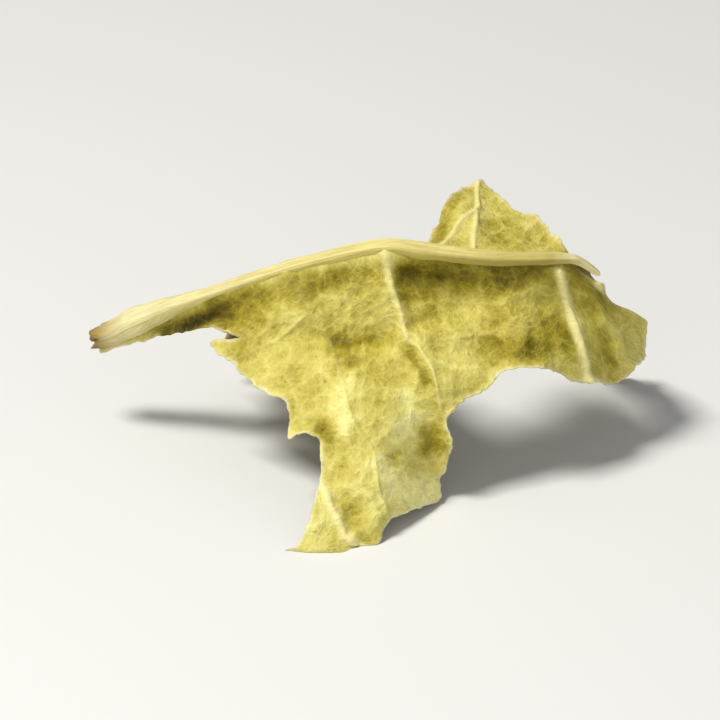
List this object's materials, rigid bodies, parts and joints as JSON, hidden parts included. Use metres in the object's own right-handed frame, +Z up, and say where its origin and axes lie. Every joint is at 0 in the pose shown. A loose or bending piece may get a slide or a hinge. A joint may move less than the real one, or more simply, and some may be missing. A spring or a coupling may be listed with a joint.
{
  "type": "dried papaya leaf piece",
  "caption": "Torn piece of a dried papaya leaf, curled over its pale midrib, with toothed lobes and raised veins. It rests on the lobes' ends.",
  "frame": {"origin": "centre of the footprint's box, on the surface that the piece rests on", "axes": "+X along the midrib from its thick torn end to its thin free end, +Y away from the large lobe that hangs down in front, +Z up"},
  "size_m": [0.0349, 0.0258, 0.0162],
  "materials": {
    "dried_leaf": "matte"
  },
  "bodies": {
    "root": {"papaya_leaf_piece": "dried_leaf"}
  },
  "joints": []
}
